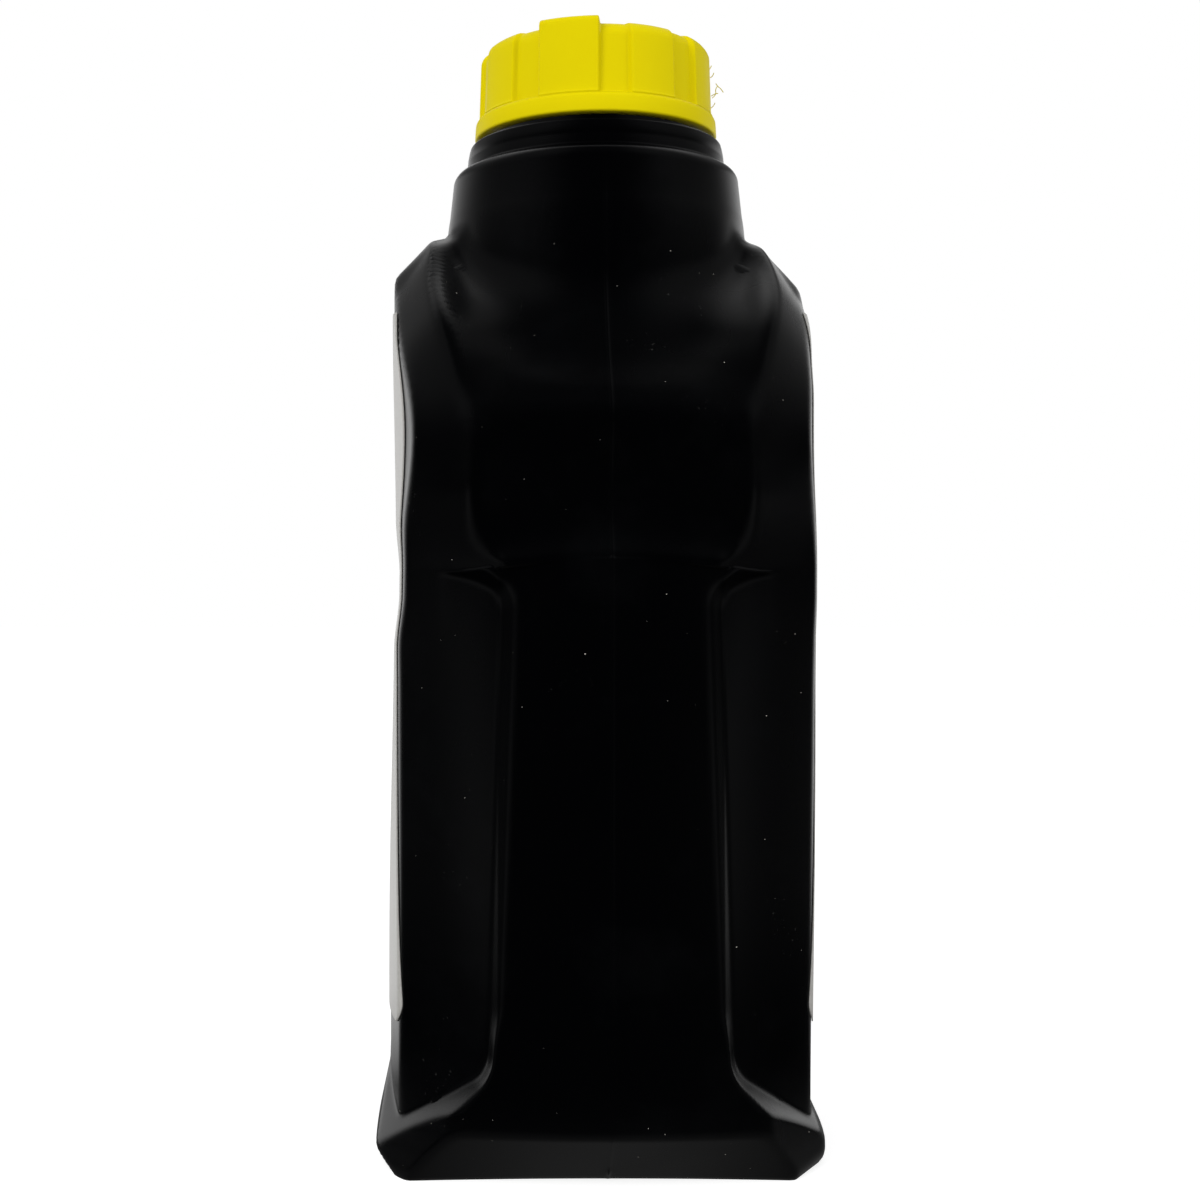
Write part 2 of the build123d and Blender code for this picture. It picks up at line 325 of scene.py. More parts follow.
def baseCut(q, d, z, left):
    # the long bevel under the narrow side, slightly bowed along its foot, and the cut foot corners;
    # the right ones are cut further than the left ones
    foot = bottle["chamferStart"] + bottle["chamferBow"] * q * q
    brow = bottle["halfDepth"] - bottle["faceBow"] * q * q
    long = (d - foot - (brow - foot) * z / bottle["chamferTop"]) * 0.7
    leftCut = footCorner(bottle["leftCut"], q, d, z) * 0.72 - 9 * (1 - left)
    rightCut = footCorner(bottle["rightCut"], q, d, z) * 0.75 - 9 * left
    side = (q - bottle["footSide"] + bottle["footSideBow"] * d * d - z) * 0.72
    rounds = bottle["rounds"]
    return softMax(softMax(long, np.maximum(leftCut, rightCut), rounds["cut"]), side, rounds["foot"])


def towerBody(radius, z):
    return radius - curveThrough(bottle["towerRadius"], z)


def bottleField(x, y, z):
    # signed distance, roughly in millimetres: below zero inside the moulding; here and above, factors
    # a little under one make a slanting plane's distance true
    q, d = np.abs(x), np.abs(y)
    shelf, rounds = shelfHeight(q), bottle["rounds"]
    left = smoothStep(5, -5, x)
    lower = softMax(lowerBody(q, d, z, left), (z - shelf) * 0.9, rounds["shelf"])
    upper = softMax(upperBody(q, d, z, left), (shelf - 0.5 - z) * 0.9, rounds["shelf"])
    shape = np.minimum(lower, upper)
    # beside the shelf the wings run on without a step
    rising = smoothStep(99, 118, z)
    wings = lowerBody(q, d, np.minimum(z, 108), left) * (1 - rising)
    wings = wings + upperBody(q, d, np.maximum(z, 113.5), left) * rising
    beyond = smoothStep(28.5, 31.5, q)
    shape = shape * (1 - beyond) + wings * beyond
    shape = softMax(shape, baseCut(q, d, z, left), rounds["foot"])
    radius = np.hypot(x, y)
    blend = 2.0 + 12.0 * (d / np.maximum(radius, 1e-6)) ** 2
    tower = np.where(z > 140, towerBody(radius, z), 99.0)
    seam = bottle["seamHeight"] + bottle["nubHeight"] * np.exp(-((z - bottle["nubPlace"]) / 0.8) ** 2)
    return softMin(shape, tower, blend) - seam * np.exp(-(x / bottle["seamWidth"]) ** 2)


def bottleColumns():
    # angles of the mesh's columns, packed at the spine's bevels, the seam and the corners
    quarter = spread(0, 90, bottle["columns"] // 4 + 1,
                     [(43, 6, 1.2), (60, 12, 0.6), (65.5, 2.4, 3.4), (90, 0.7, 6.0)])
    half = np.concatenate([quarter[:-1], 180 - quarter[::-1]])
    return np.radians(np.concatenate([half[:-1], half[:-1] + 180]))


def bottleRows():
    # each row's rays start at one height on the axis and climb at one slope
    starts = spread(0, 186, bottle["rows"], [(3, 4, 1.2), (10, 5, 1.6), (17, 7, 1.8), (109, 5, 1.6),
                                             (114.6, 1.6, 5.0), (140, 8, 0.3)])
    return starts, curveThrough(bottle["raySlope"], starts)


def alongShelf(starts, angles):
    # the rows near the shelf dip with its arc, so that its edge runs along a row
    slant = np.abs(np.cos(angles) / np.maximum(np.abs(np.sin(angles)), 0.2))
    q = np.minimum(bottle["shelfDepth"] * slant, bottle["shelfReach"])
    dip = shelfHeight(q) - bottle["shelf"]
    near = np.exp(-((starts - bottle["shelf"]) / bottle["shelfRows"]) ** 2)
    return starts[:, None] + dip[None, :] * near[:, None]


def skinPoints(starts, slopes, inset):
    # where each ray leaves the form, found by halving
    angles = bottleColumns()
    cosines, sines = np.cos(angles)[None, :], np.sin(angles)[None, :]
    levels = alongShelf(starts, angles)
    low = np.zeros((len(starts), len(angles)))
    high = np.full_like(low, bottle["farthest"])
    for _ in range(bottle["halvings"]):
        middle = (low + high) / 2
        field = bottleField(middle * cosines, middle * sines, levels + slopes[:, None] * middle)
        inside = field + inset < 0
        low = np.where(inside, middle, low)
        high = np.where(inside, high, middle)
    heights = levels + slopes[:, None] * low
    return np.stack([low * cosines, low * sines, heights], axis=2)


def turnedRows(profile):
    # rows of a turned form on the bottle's own columns, from (radius, height) pairs
    angles = bottleColumns()
    sizes = np.array(profile, float)
    ones = np.ones_like(angles)
    return np.stack([sizes[:, :1] * np.cos(angles), sizes[:, :1] * np.sin(angles), sizes[:, 1:] * ones],
                    axis=2)


def arcPoints(centre, radius, start, end, count):
    # (radius, height) pairs round a corner, angles in degrees from level
    turn = np.radians(np.linspace(start, end, count))
    return [(centre[0] + radius * math.cos(t), centre[1] + radius * math.sin(t)) for t in turn]


# the turned top, and the underside
neck = {
    "headRadius": 29.25,
    "headStart": 192.6,
    "headRound": 2.7,
    "collarFoot": 26.35,
    "collar": 25.8,
    "collarTop": 200.6,
    "finish": 19.8,
    "lip": 217.2,
    "wall": 1.8,
    # the push-up under the foot, and the floor's thickness over it
    "pushUp": 2.2,
    "pushWidth": 27.0,
    "floor": 1.8,
}


def makeBottle():
    starts, slopes = bottleRows()
    outer = skinPoints(starts, slopes, 0)
    rounded = neck["headRound"]
    head = arcPoints((neck["headRadius"] - rounded, neck["headStart"]), rounded, 0, 78, 9)
    foot = arcPoints((neck["collarFoot"] + 0.5, 196.0), 0.5, 260, 180, 4)
    rim = arcPoints((neck["collar"] - 0.5, neck["collarTop"] - 0.5), 0.5, 0, 90, 5)
    lip = arcPoints((neck["finish"] - 0.6, neck["lip"] - 0.6), 0.6, 0, 90, 5)
    bore = neck["finish"] - neck["wall"]
    collar = [(26.3, 197.4), (26.2, 197.7), (26.25, 198.0), (25.95, 199.6)]
    stem = [(neck["finish"] + 0.8, neck["collarTop"]), (neck["finish"], neck["collarTop"] + 0.8),
            (neck["finish"], 209)]
    outside = head + foot + collar + rim + stem + lip
    inside = [(bore + 0.4, neck["lip"]), (bore, neck["lip"] - 0.5), (bore, 209), (bore, 201),
              (bore + 2, 197), (26.0, 194.5), (27.4, 192.6)]
    innerStarts = spread(4.5, 184, bottle["innerRows"], [(115, 8, 1.0), (10, 6, 1.0)])[::-1]
    hollow = skinPoints(innerStarts, curveThrough(bottle["raySlope"], innerStarts), bottle["wall"])
    insideFloor = hollow[-1] * np.array([0.94, 0.94, 0]) + np.array([0, 0, neck["pushUp"] + neck["floor"]])
    # the underside: a flat foot ring, then the push-up
    edge = outer[0]
    reach = np.hypot(edge[:, 0], edge[:, 1])
    wider = np.maximum(np.abs(edge[:, 0]), np.abs(edge[:, 1]))
    push = np.minimum(reach * 0.86, neck["pushWidth"] / wider * reach)
    ring = edge * (push / reach)[:, None]
    raised = ring * 0.94 + np.array([0, 0, neck["pushUp"]])
    under = np.stack([raised * np.array([0.5, 0.5, 1]), raised, ring * 0.985 + np.array([0, 0, 0.6]), ring,
                      (ring + edge) / 2, edge * 0.985])
    points = np.concatenate([under, outer, turnedRows(outside), turnedRows(inside), hollow,
                             insideFloor[None], insideFloor[None] * np.array([0.5, 0.5, 1])])
    return gridMesh("bottle_moulding", points, caps=("bottom", "top")), outer


bottleBody, bottleSkin = makeBottle()
print("bottle body:", len(bottleBody.data.polygons), "faces")


# Screw cap

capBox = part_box("screw_cap")
cap = {
    "bottom": capBox[0][2] / mm,
    "flangeRadius": capBox[1][0] / mm,
    "flangeTop": 206.3,
    "padRadius": 23.9,
    "padDepth": 1.0,
    "top": 220.5,
    "edgeRound": 3.0,
    "markerTop": capBox[1][2] / mm,
    "markerRound": 1.2,
    "markerWall": 2.6,
    "markerAngle": -16.6,
    "markerSweep": 31.0,
    "plainPads": 8,
    "recessSweep": 14.0,
    "stepSoftness": 1.5,
    "bore": 21.4,
    "ceiling": 218.6,
    "draft": 0.35,
    "columns": 480,
}


def padEdges():
    # (start, end) of every pad, marker first, in degrees anticlockwise from the front
    pitch = (360 - cap["markerSweep"] - cap["recessSweep"]) / cap["plainPads"]
    begin = cap["markerAngle"] + cap["markerSweep"] / 2 + cap["recessSweep"]
    pads = [(cap["markerAngle"] - cap["markerSweep"] / 2, cap["markerAngle"] + cap["markerSweep"] / 2)]
    for n in range(cap["plainPads"]):
        pads.append((begin + n * pitch, begin + (n + 1) * pitch - cap["recessSweep"]))
    return pads


def padAmount(angles, pads, softness):
    amount = np.zeros_like(angles)
    for start, end in pads:
        middle, half = (start + end) / 2, (end - start) / 2
        away = np.abs((angles - middle + 180) % 360 - 180)
        amount = np.maximum(amount, 1 - smoothStep(half - softness, half + softness * 0.4, away))
    return amount


def makeCap():
    pads = padEdges()
    edges = sorted(((edge + 180) % 360) - 180 for pair in pads for edge in pair)
    angles = spread(-180, 180, cap["columns"] + 1, [(edge, 2.0, 3.2) for edge in edges])[:-1]
    lift = padAmount(angles, pads, cap["stepSoftness"])
    mark = padAmount(angles, pads[:1], cap["stepSoftness"] * 0.7)
    radius = cap["padRadius"] - cap["padDepth"] * (1 - lift)
    curve = cap["edgeRound"] + (cap["markerRound"] - cap["edgeRound"]) * mark
    top = cap["top"] + (cap["markerTop"] - cap["top"]) * mark
    flange, low, seat = cap["flangeRadius"], cap["bottom"], cap["flangeTop"]
    bore, ceiling = cap["bore"], cap["ceiling"]
    rows = []

    def addRow(size, height):
        ones = np.ones_like(angles)
        rows.append(np.stack([size * ones, height * ones], axis=1))

    # the hollow from its ceiling down, then the flange's rim and its rounded top
    hollow = [(bore * 0.55, ceiling), (bore - 1.2, ceiling), (bore - 0.3, ceiling - 0.3),
              (bore, ceiling - 1.2), (bore, 210), (bore + 0.1, 204), (bore + 0.5, low + 0.1),
              (bore + 0.8, low)]
    rim = arcPoints((flange - 0.5, low + 0.5), 0.5, 270, 360, 5) + [(flange - 0.1, low + 2.4)]
    for size, height in hollow + rim + arcPoints((flange - 1.25, seat - 1.2), 1.1, 5, 70, 6):
        addRow(size, height)
    # the pads' wall, from a small hollow over the flange up to the rounded edge
    for step in np.linspace(0, 1, 4):
        addRow(radius + 0.32 * (1 - step) ** 2, seat - 0.05 + 0.7 * step)
    for step in np.linspace(0.1, 1, 13):
        addRow(radius - cap["draft"] * step * (1 - mark), seat + 0.65 + (top - curve - seat - 0.65) * step)
    shoulder = radius - cap["draft"] * (1 - mark)
    for turn in np.radians(np.linspace(9, 90, 10)):
        addRow(shoulder - curve * (1 - math.cos(turn)), top - curve * (1 - math.sin(turn)))
    # the marker pad's crest, then its soft step down to the flat top
    inner = cap["padRadius"] - cap["markerWall"]
    crest = np.minimum(shoulder - curve, inner + 0.4)
    for share in (0.5, 1.0):
        addRow(shoulder - curve + (crest - shoulder + curve) * share, top)
    for share in (0.25, 0.5, 0.75, 1.0):
        soft = 0.5 + 0.5 * math.cos(share * math.pi)
        addRow(crest - 0.9 * share, cap["top"] + (top - cap["top"]) * soft)
    for share in (0.85, 0.6, 0.3):
        addRow((crest - 0.9) * share, cap["top"])
    sizes = np.stack(rows)
    turned = np.radians(angles - 90)
    across, heights = sizes[..., 0], sizes[..., 1]
    points = np.stack([across * np.cos(turned), across * np.sin(turned), heights], axis=2)
    return gridMesh("screw_cap_moulding", points, caps=("bottom", "top"))


screwCap = makeCap()
print("screw cap:", len(screwCap.data.polygons), "faces")


# Labels

label = {
    "glue": 0.1,
    "thickness": 0.25,
    "bottom": 27.0,
    "top": 164.0,
    "half": 31.5,
    "topHalf": 20.0,
    "shoulder": 140.0,
    "corner": 5.0,
    "rows": 110,
    "columns": 48,
    # how far out the wide side is looked for
    "searchFrom": 20.0,
    "searchTo": 60.0,
}


def labelHalfWidth(z):
    low = np.clip(label["corner"] - (z - label["bottom"]), 0, label["corner"])
    lower = label["half"] - label["corner"] + np.sqrt(label["corner"] ** 2 - low ** 2)
    # the shield's top is one arc, upright where it leaves the straight side
    drop, rise = label["half"] - label["topHalf"], label["top"] - label["shoulder"]
    bend = (drop * drop + rise * rise) / (2 * drop)
    above = np.clip(z - label["shoulder"], 0, rise)
    return np.minimum(lower, label["half"] - bend + np.sqrt(bend ** 2 - above ** 2))


def makeLabel(name, side):
    heights = spread(label["bottom"], label["top"], label["rows"],
                     [(label["bottom"], 5, 3), (label["top"], 3, 1)])
    across = np.linspace(-1, 1, label["columns"])
    y = labelHalfWidth(heights)[:, None] * across[None, :]
    z = np.repeat(heights[:, None], label["columns"], axis=1)
    low, high = np.full_like(y, label["searchFrom"]), np.full_like(y, label["searchTo"])
    for _ in range(bottle["halvings"]):
        middle = (low + high) / 2
        inside = bottleField(side * middle, y, z) < 0
        low, high = np.where(inside, middle, low), np.where(inside, high, middle)
    near = np.stack([side * (low + label["glue"]), side * y, z], axis=2)
    far = near + np.array([side * label["thickness"], 0, 0])
    # the film's two faces meet round its edge: front row by row, then back again
    border = np.concatenate([far, near[:, ::-1]], axis=1)
    columns = label["columns"]
    # a strip of quads closes the film at its foot and at its head
    ends = []
    for row in (0, label["rows"] - 1):
        base = row * 2 * columns
        for n in range(columns - 1):
            quad = (base + n, base + n + 1, base + 2 * columns - 2 - n, base + 2 * columns - 1 - n)
            ends.append(quad[::-1] if row == 0 else quad)
    return gridMesh(name, border, strips=ends)


frontLabel = makeLabel("front_label_film", 1)
backLabel = makeLabel("back_label_film", -1)
print("labels on both wide sides")


# Repeats made with Geometry Nodes

def newTree(name, inputs):
    # an empty tree with named inputs; returns it with the identifiers that a modifier needs
    tree = bpy.data.node_groups.new(name, "GeometryNodeTree")
    keys = {}
    for title, kind in inputs:
        keys[title] = tree.interface.new_socket(title, in_out="INPUT", socket_type=kind).identifier
    tree.interface.new_socket("Geometry", in_out="OUTPUT", socket_type="NodeSocketGeometry")
    return tree, keys


def addNode(tree, kind, inputs=None, **settings):
    node = tree.nodes.new(kind)
    for key, value in settings.items():
        setattr(node, key, value)
    for key, value in (inputs or {}).items():
        if isinstance(value, bpy.types.NodeSocket):
            tree.links.new(value, node.inputs[key])
        else:
            node.inputs[key].default_value = value
    return node


def endTree(tree, geometry, finish):
    # every repeat ends as plain geometry in its finish
    whole = addNode(tree, "GeometryNodeRealizeInstances", {"Geometry": geometry})
    finished = addNode(tree, "GeometryNodeSetMaterial", {"Geometry": whole.outputs["Geometry"],
                                                         "Material": finish})
    addNode(tree, "NodeGroupOutput", {"Geometry": finished.outputs["Geometry"]})


def runTree(name, base, tree, keys, values):
    # puts the tree on a holder, reads the plain mesh that it makes, and removes the holder
    holder = addObject(name + "_holder", base or bpy.data.meshes.new(name + "_base"))
    modifier = holder.modifiers.new("nodes", "NODES")
    modifier.node_group = tree
    for key, value in values.items():
        modifier[keys[key]] = value
    bpy.context.view_layer.update()
    evaluated = holder.evaluated_get(bpy.context.evaluated_depsgraph_get())
    mesh = bpy.data.meshes.new_from_object(evaluated)
    mesh.name = name
    bpy.data.objects.remove(holder)
    return addObject(name, mesh)


# Screw threads

thread = {
    "pitch": 6.0,
    "turns": 1.6,
    "neckRadius": 19.9,
    "capRadius": 21.5,
    "bead": 1.0,
    "neckStart": 204.4,
    # the share of the thread over which each end thins out, and how thin it gets
    "taper": 0.07,
    "endSize": 0.25,
}


def threadTree():
    tree, keys = newTree("ThreadBead", [("Turns", "NodeSocketFloat"), ("Radius", "NodeSocketFloat"),
                                        ("Rise", "NodeSocketFloat"), ("Bead", "NodeSocketFloat"),
                                        ("Start", "NodeSocketVector"), ("Finish", "NodeSocketMaterial")])
    given = tree.nodes.new("NodeGroupInput").outputs
    helix = addNode(tree, "GeometryNodeCurveSpiral", {
        "Resolution": 72, "Rotations": given["Turns"], "Start Radius": given["Radius"],
        "End Radius": given["Radius"], "Height": given["Rise"]})
    along = addNode(tree, "GeometryNodeSplineParameter").outputs["Factor"]
    back = calculate(tree, "SUBTRACT", 1.0, along)
    nearest = calculate(tree, "MINIMUM", along, back)
    size = remap(tree, nearest, 0.0, thread["taper"], thread["endSize"], 1.0)
    section = addNode(tree, "GeometryNodeCurvePrimitiveCircle", {
        "Resolution": 12, "Radius": given["Bead"]})
    swept = addNode(tree, "GeometryNodeCurveToMesh", {
        "Curve": helix.outputs["Curve"], "Profile Curve": section.outputs["Curve"],
        "Scale": size, "Fill Caps": True})
    placed = addNode(tree, "GeometryNodeTransform", {"Geometry": swept.outputs["Mesh"],
                                                     "Translation": given["Start"]})
    endTree(tree, placed.outputs["Geometry"], given["Finish"])
    return tree, keys


# Materials

def newMaterial(name, colour, roughness, **sockets):
    material = bpy.data.materials.new(name)
    material.use_nodes = True
    tree = material.node_tree
    shader = tree.nodes["Principled BSDF"]
    shader.inputs["Base Color"].default_value = (*colour, 1)
    shader.inputs["Roughness"].default_value = roughness
    for key, value in sockets.items():
        shader.inputs[key].default_value = value
    place = tree.nodes.new("ShaderNodeTexCoord").outputs["Object"]
    return material, tree, shader, place


def noise(tree, place, scale, detail=2.0, roughness=0.5):
    return addNode(tree, "ShaderNodeTexNoise", {"Vector": place, "Scale": scale, "Detail": detail,
                                                "Roughness": roughness}).outputs["Fac"]


def stretched(tree, place, x, y, z):
    return addNode(tree, "ShaderNodeMapping", {"Vector": place, "Scale": (x, y, z)}).outputs["Vector"]


def remap(tree, value, low, high, toLow, toHigh):
    return addNode(tree, "ShaderNodeMapRange", {"Value": value, "From Min": low, "From Max": high,
                                                "To Min": toLow, "To Max": toHigh}).outputs["Result"]


def calculate(tree, operation, first, second=0.0):
    return addNode(tree, "ShaderNodeMath", {0: first, 1: second}, operation=operation).outputs[0]


def mixColour(tree, amount, first, second):
    node = addNode(tree, "ShaderNodeMix", data_type="RGBA")
    for key, value in ((0, amount), (6, first), (7, second)):
        if isinstance(value, bpy.types.NodeSocket):
            tree.links.new(value, node.inputs[key])
        else:
            node.inputs[key].default_value = value if key == 0 else (*value, 1)
    return node.outputs[2]


def addBump(tree, shader, height, distance, strength=1.0):
    bump = addNode(tree, "ShaderNodeBump", {"Height": height, "Distance": distance, "Strength": strength})
    earlier = shader.inputs["Normal"].links
    if earlier:
        tree.links.new(earlier[0].from_socket, bump.inputs["Normal"])
    tree.links.new(bump.outputs["Normal"], shader.inputs["Normal"])


blackFinish = {
    "colour": (0.0003, 0.0004, 0.0007),
    "dusted": (0.0040, 0.0043, 0.0050),
    "scuffed": (0.050, 0.050, 0.046),
    "roughness": 0.25,
    "ior": 1.38,
    "grainScale": 2600,
    "grainDepth": 0.00002,
    "waveScale": 55,
    "waveDepth": 0.0006,
    "filmScale": 38,
    "filmAmount": 0.30,
    "scuffScale": 900,
    "scuffPatchScale": 46,
    "scuffAmount": 0.6,
}


def makeBlackPlastic():
    material, tree, shader, place = newMaterial("black_bottle_plastic", blackFinish["colour"],
                                                blackFinish["roughness"], IOR=blackFinish["ior"])
    grain = noise(tree, place, blackFinish["grainScale"], 3.0, 0.6)
    flow = noise(tree, stretched(tree, place, 1, 1, 0.25), blackFinish["waveScale"], 1.0)
    # thin films of dust, patchy and very faint, and scattered scuffs
    cloud = noise(tree, place, blackFinish["filmScale"], 4.0, 0.62)
    film = remap(tree, cloud, 0.52, 0.80, 0.0, blackFinish["filmAmount"])
    rubbed = remap(tree, noise(tree, place, blackFinish["scuffScale"], 2.0, 0.7), 0.66, 0.74, 0.0, 1.0)
    patches = noise(tree, place, blackFinish["scuffPatchScale"], 2.0, 0.5)
    where = remap(tree, patches, 0.64, 0.74, 0.0, blackFinish["scuffAmount"])
    scuffs = calculate(tree, "MULTIPLY", rubbed, where)
    dusty = mixColour(tree, film, blackFinish["colour"], blackFinish["dusted"])
    tree.links.new(mixColour(tree, scuffs, dusty, blackFinish["scuffed"]), shader.inputs["Base Color"])
    satin = remap(tree, flow, 0.3, 0.7, blackFinish["roughness"] - 0.04, blackFinish["roughness"] + 0.06)
    rougher = calculate(tree, "MULTIPLY", scuffs, 0.3)
    tree.links.new(calculate(tree, "ADD", satin, rougher), shader.inputs["Roughness"])
    addBump(tree, shader, flow, blackFinish["waveDepth"], 0.25)
    addBump(tree, shader, grain, blackFinish["grainDepth"], 0.6)
    return material


yellowFinish = {
    "colour": (0.660, 0.548, 0.0),
    "worn": (0.690, 0.590, 0.0),
    "roughness": 0.40,
    "gloss": 0.06,
    "depthWeight": 0.12,
    "depthColour": (1.0, 0.8, 0.1),
    "depthReach": 0.0012,
    "cloudScale": 70,
    "sheenScale": 160,
    "sheen": (0.36, 0.46),
    "grainScale": 1800,
    "grainDepth": 0.00002,
}


def makeYellowPlastic():
    material, tree, shader, place = newMaterial("yellow_cap_plastic", yellowFinish["colour"],
                                                yellowFinish["roughness"], IOR=1.49)
    shader.inputs["Specular IOR Level"].default_value = yellowFinish["gloss"]
    shader.inputs["Subsurface Weight"].default_value = yellowFinish["depthWeight"]
    shader.inputs["Subsurface Radius"].default_value = yellowFinish["depthColour"]
    shader.inputs["Subsurface Scale"].default_value = yellowFinish["depthReach"]
    cloud = remap(tree, noise(tree, place, yellowFinish["cloudScale"], 3.0, 0.55), 0.42, 0.72, 0.0, 0.35)
    clouded = mixColour(tree, cloud, yellowFinish["colour"], yellowFinish["worn"])
    tree.links.new(clouded, shader.inputs["Base Color"])
    sheen = remap(tree, noise(tree, place, yellowFinish["sheenScale"], 2.0), 0.35, 0.65,
                  *yellowFinish["sheen"])
    tree.links.new(sheen, shader.inputs["Roughness"])
    grain = noise(tree, place, yellowFinish["grainScale"], 3.0, 0.6)
    addBump(tree, shader, grain, yellowFinish["grainDepth"], 0.5)
    return material


labelFinish = {
    "ground": (0.36, 0.35, 0.33),
    "panel": (0.55, 0.55, 0.53),
    "roughness": 0.34,
    "weaveScale": 1500,
    "weaveDepth": 0.00002,
}


def makeLabelFilm(name):
    material, tree, shader, place = newMaterial(name, labelFinish["ground"], labelFinish["roughness"],
                                                IOR=1.5)
    # a plain pale film with a faint weave, since the photo shows no print
    weave = noise(tree, stretched(tree, place, 1, 3, 1), labelFinish["weaveScale"], 3.0, 0.7)
    ground = mixColour(tree, remap(tree, weave, 0.35, 0.7, 0.0, 0.5),
                       labelFinish["ground"], labelFinish["panel"])
    tree.links.new(ground, shader.inputs["Base Color"])
    addBump(tree, shader, weave, labelFinish["weaveDepth"], 0.4)
    return material


foamFinish = {
    "colour": (0.78, 0.77, 0.73),
    "cellWall": (0.66, 0.65, 0.61),
    "cell": (0.82, 0.81, 0.78),
    "roughness": 0.75,
    "cellScale": 2600,
    "cellDepth": 0.00004,
}


def makeFoam():
    material, tree, shader, place = newMaterial("liner_foam", foamFinish["colour"],
                                                foamFinish["roughness"])
    cells = addNode(tree, "ShaderNodeTexVoronoi", {"Vector": place, "Scale": foamFinish["cellScale"]})
    depth = cells.outputs["Distance"]
    speckled = mixColour(tree, remap(tree, depth, 0.0, 0.6, 0.0, 1.0),
                         foamFinish["cellWall"], foamFinish["cell"])
    tree.links.new(speckled, shader.inputs["Base Color"])
    addBump(tree, shader, depth, foamFinish["cellDepth"], 0.5)
    return material


dustFinish = {
    "colour": (0.45, 0.43, 0.38),
    "darker": (0.30, 0.28, 0.24),
    "paler": (0.62, 0.60, 0.55),
    "roughness": 0.9,
    "mixScale": 400,
}


def makeDustFinish():
    material, tree, shader, place = newMaterial("pale_dust", dustFinish["colour"], dustFinish["roughness"])
    mixed = mixColour(tree, noise(tree, place, dustFinish["mixScale"], 2.0),
                      dustFinish["darker"], dustFinish["paler"])
    tree.links.new(mixed, shader.inputs["Base Color"])
    return material


blackPlastic, yellowPlastic, foam = makeBlackPlastic(), makeYellowPlastic(), makeFoam()
paleDust = makeDustFinish()
bottleBody.data.materials.append(blackPlastic)
screwCap.data.materials.append(yellowPlastic)
frontLabel.data.materials.append(makeLabelFilm("front_label_film"))
backLabel.data.materials.append(makeLabelFilm("back_label_film"))
linerNode = frame["nodes"]["cap_liner"]
linerNode.data.materials.clear()
linerNode.data.materials.append(foam)
print("finishes on the bottle, cap, labels and liner")

threadNodes, threadKeys = threadTree()


def makeThread(name, radius, start, finish):
    return runTree(name, None, threadNodes, threadKeys, {
        "Turns": thread["turns"], "Radius": radius * mm,
        "Rise": thread["turns"] * thread["pitch"] * mm, "Bead": thread["bead"] * mm,
        "Start": (0, 0, start * mm), "Finish": finish})


# the cap's thread runs half a turn's rise above the neck's
neckThread = makeThread("neck_thread", thread["neckRadius"], thread["neckStart"], blackPlastic)
capThread = makeThread("cap_thread", thread["capRadius"], thread["neckStart"] + thread["pitch"] / 2,
                       yellowPlastic)
print("threads:", len(neckThread.data.polygons), len(capThread.data.polygons), "faces")


# Dust specks

dust = {
    "perSquareMetre": 4200.0,
    "footPerSquareMetre": 11000.0,
    "footTop": 13.0,
    "grain": 0.00014,
    "smallest": 0.25,
    "largest": 1.25,
    "seed": 7,
}


def dustTree():
    tree, keys = newTree("DustSpecks", [("Skin", "NodeSocketGeometry"), ("Density", "NodeSocketFloat"),
                                        ("Grain", "NodeSocketFloat"), ("Smallest", "NodeSocketFloat"),
                                        ("Largest", "NodeSocketFloat"), ("Seed", "NodeSocketInt"),
                                        ("Finish", "NodeSocketMaterial")])
    given = tree.nodes.new("NodeGroupInput").outputs
    scattered = addNode(tree, "GeometryNodeDistributePointsOnFaces", {
        "Mesh": given["Skin"], "Density": given["Density"], "Seed": given["Seed"]})
    grain = addNode(tree, "GeometryNodeMeshIcoSphere", {"Radius": given["Grain"], "Subdivisions": 1})
    # most specks are small: the random share is cubed
    share = addNode(tree, "FunctionNodeRandomValue", {"Seed": given["Seed"]}).outputs["Value"]
    cubed = calculate(tree, "POWER", share, 3.0)
    size = addNode(tree, "ShaderNodeMapRange", {"Value": cubed, "To Min": given["Smallest"],
                                                "To Max": given["Largest"]}).outputs["Result"]
    shape = addNode(tree, "ShaderNodeCombineXYZ", {"X": size, "Z": calculate(tree, "MULTIPLY", size, 0.5)})
    tree.links.new(calculate(tree, "MULTIPLY", size, 0.7), shape.inputs["Y"])
    placed = addNode(tree, "GeometryNodeInstanceOnPoints", {
        "Points": scattered.outputs["Points"], "Instance": grain.outputs["Mesh"],
        "Rotation": scattered.outputs["Rotation"], "Scale": shape.outputs["Vector"]})
    endTree(tree, placed.outputs["Instances"], given["Finish"])
    return tree, keys


def makeDust(name, rows, density, seed):
    # specks lie on the outer skin only, clear of the underside and of the cap
    skin = gridMesh("dust_skin", rows)
    tree, keys = dustTree()
    specks = runTree(name, skin.data, tree, keys, {
        "Density": density, "Grain": dust["grain"], "Smallest": dust["smallest"],
        "Largest": dust["largest"], "Seed": seed, "Finish": paleDust})
    bpy.data.objects.remove(skin)
    return specks


footRows = int((bottleSkin[:, 0, 2] < dust["footTop"]).sum())
dustSpecks = makeDust("dust_specks", bottleSkin[8:-6], dust["perSquareMetre"], dust["seed"])
footSpecks = makeDust("foot_dust_specks", bottleSkin[4:footRows], dust["footPerSquareMetre"],
                      dust["seed"] + 1)
print("dust:", len(dustSpecks.data.polygons) + len(footSpecks.data.polygons), "faces")


# Frayed strands on the cap's edge

strandRadius = 0.09
